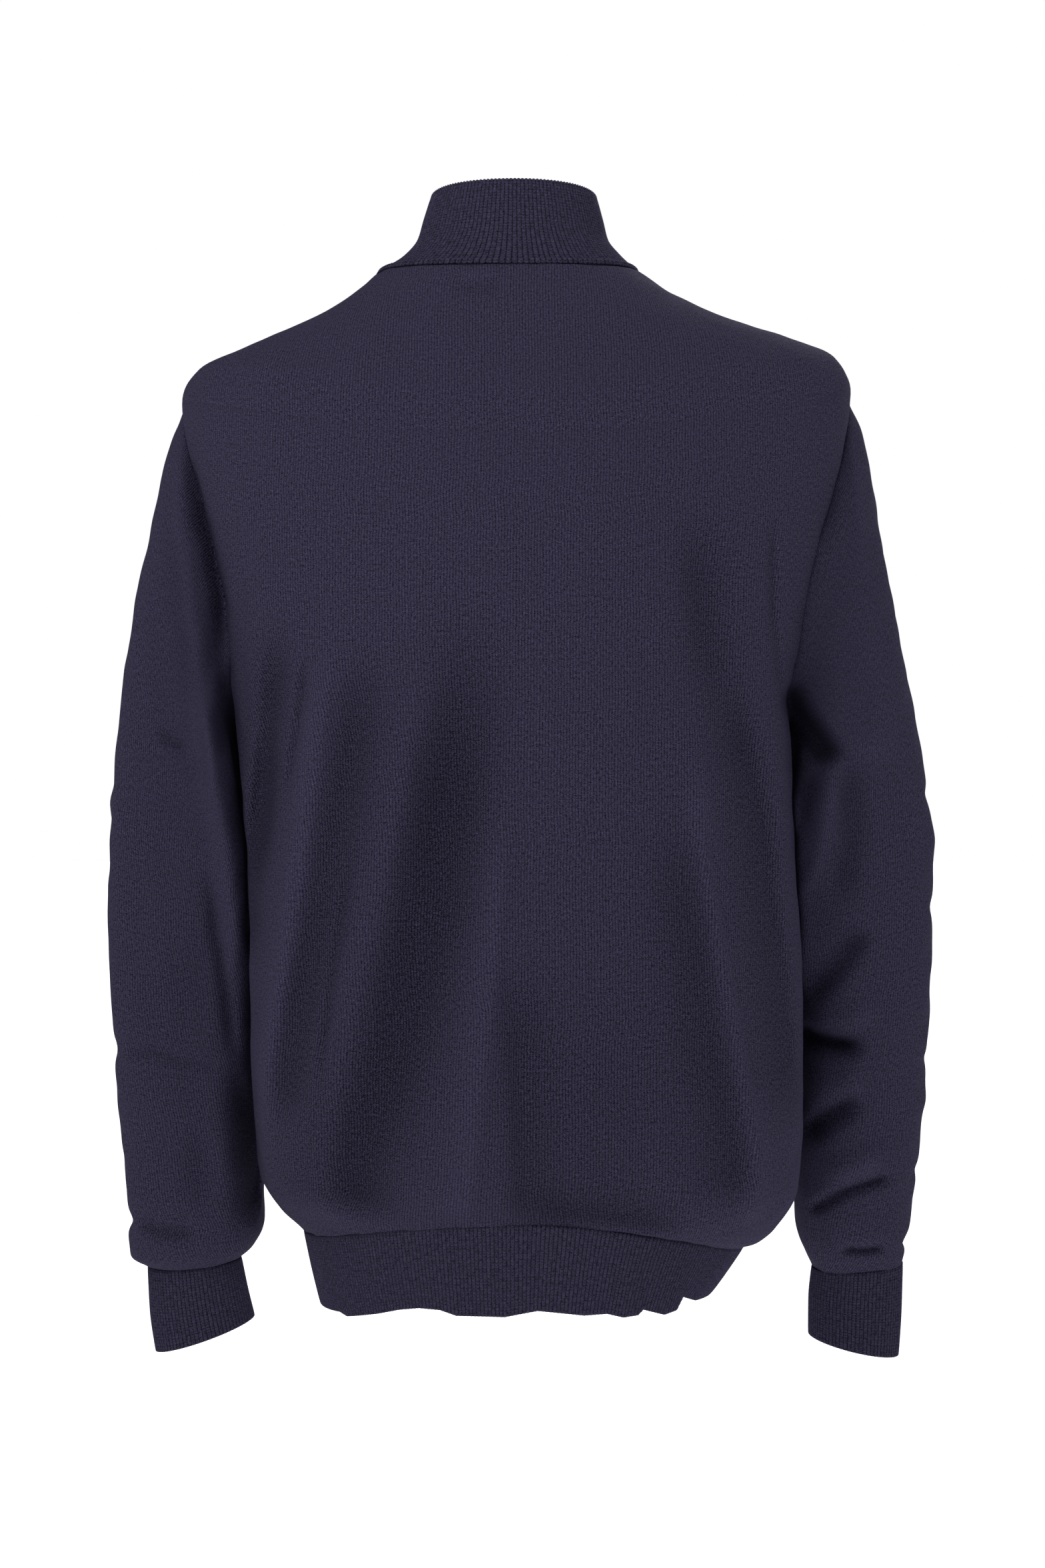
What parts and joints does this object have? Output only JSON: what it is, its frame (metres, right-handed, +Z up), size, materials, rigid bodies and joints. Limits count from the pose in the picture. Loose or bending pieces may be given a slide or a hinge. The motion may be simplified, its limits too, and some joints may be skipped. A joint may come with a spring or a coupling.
{
  "type": "mock neck sweater",
  "caption": "Long-sleeved fine-knit mock neck sweater in its hollow worn form, with ribbed collar, cuffs and hem.",
  "frame": {"origin": "middle of the neck base, at the height where the collar seam crosses the shoulders, where the wearer's shoulders carry the garment", "axes": "+Z up out of the collar, -Y out of the front, +X to the wearer's left"},
  "size_m": [0.5441, 0.283, 0.7687],
  "materials": {
    "jersey": "matte fine-gauge merino jersey, navy",
    "rib": "matte fine merino rib, navy"
  },
  "bodies": {
    "root": {"back": "jersey", "front": "jersey", "sleeve_left": "jersey", "sleeve_right": "jersey", "mock_collar": "rib", "hem_rib_back": "rib", "hem_rib_front": "rib", "cuff_left": "rib", "cuff_right": "rib"}
  },
  "joints": []
}
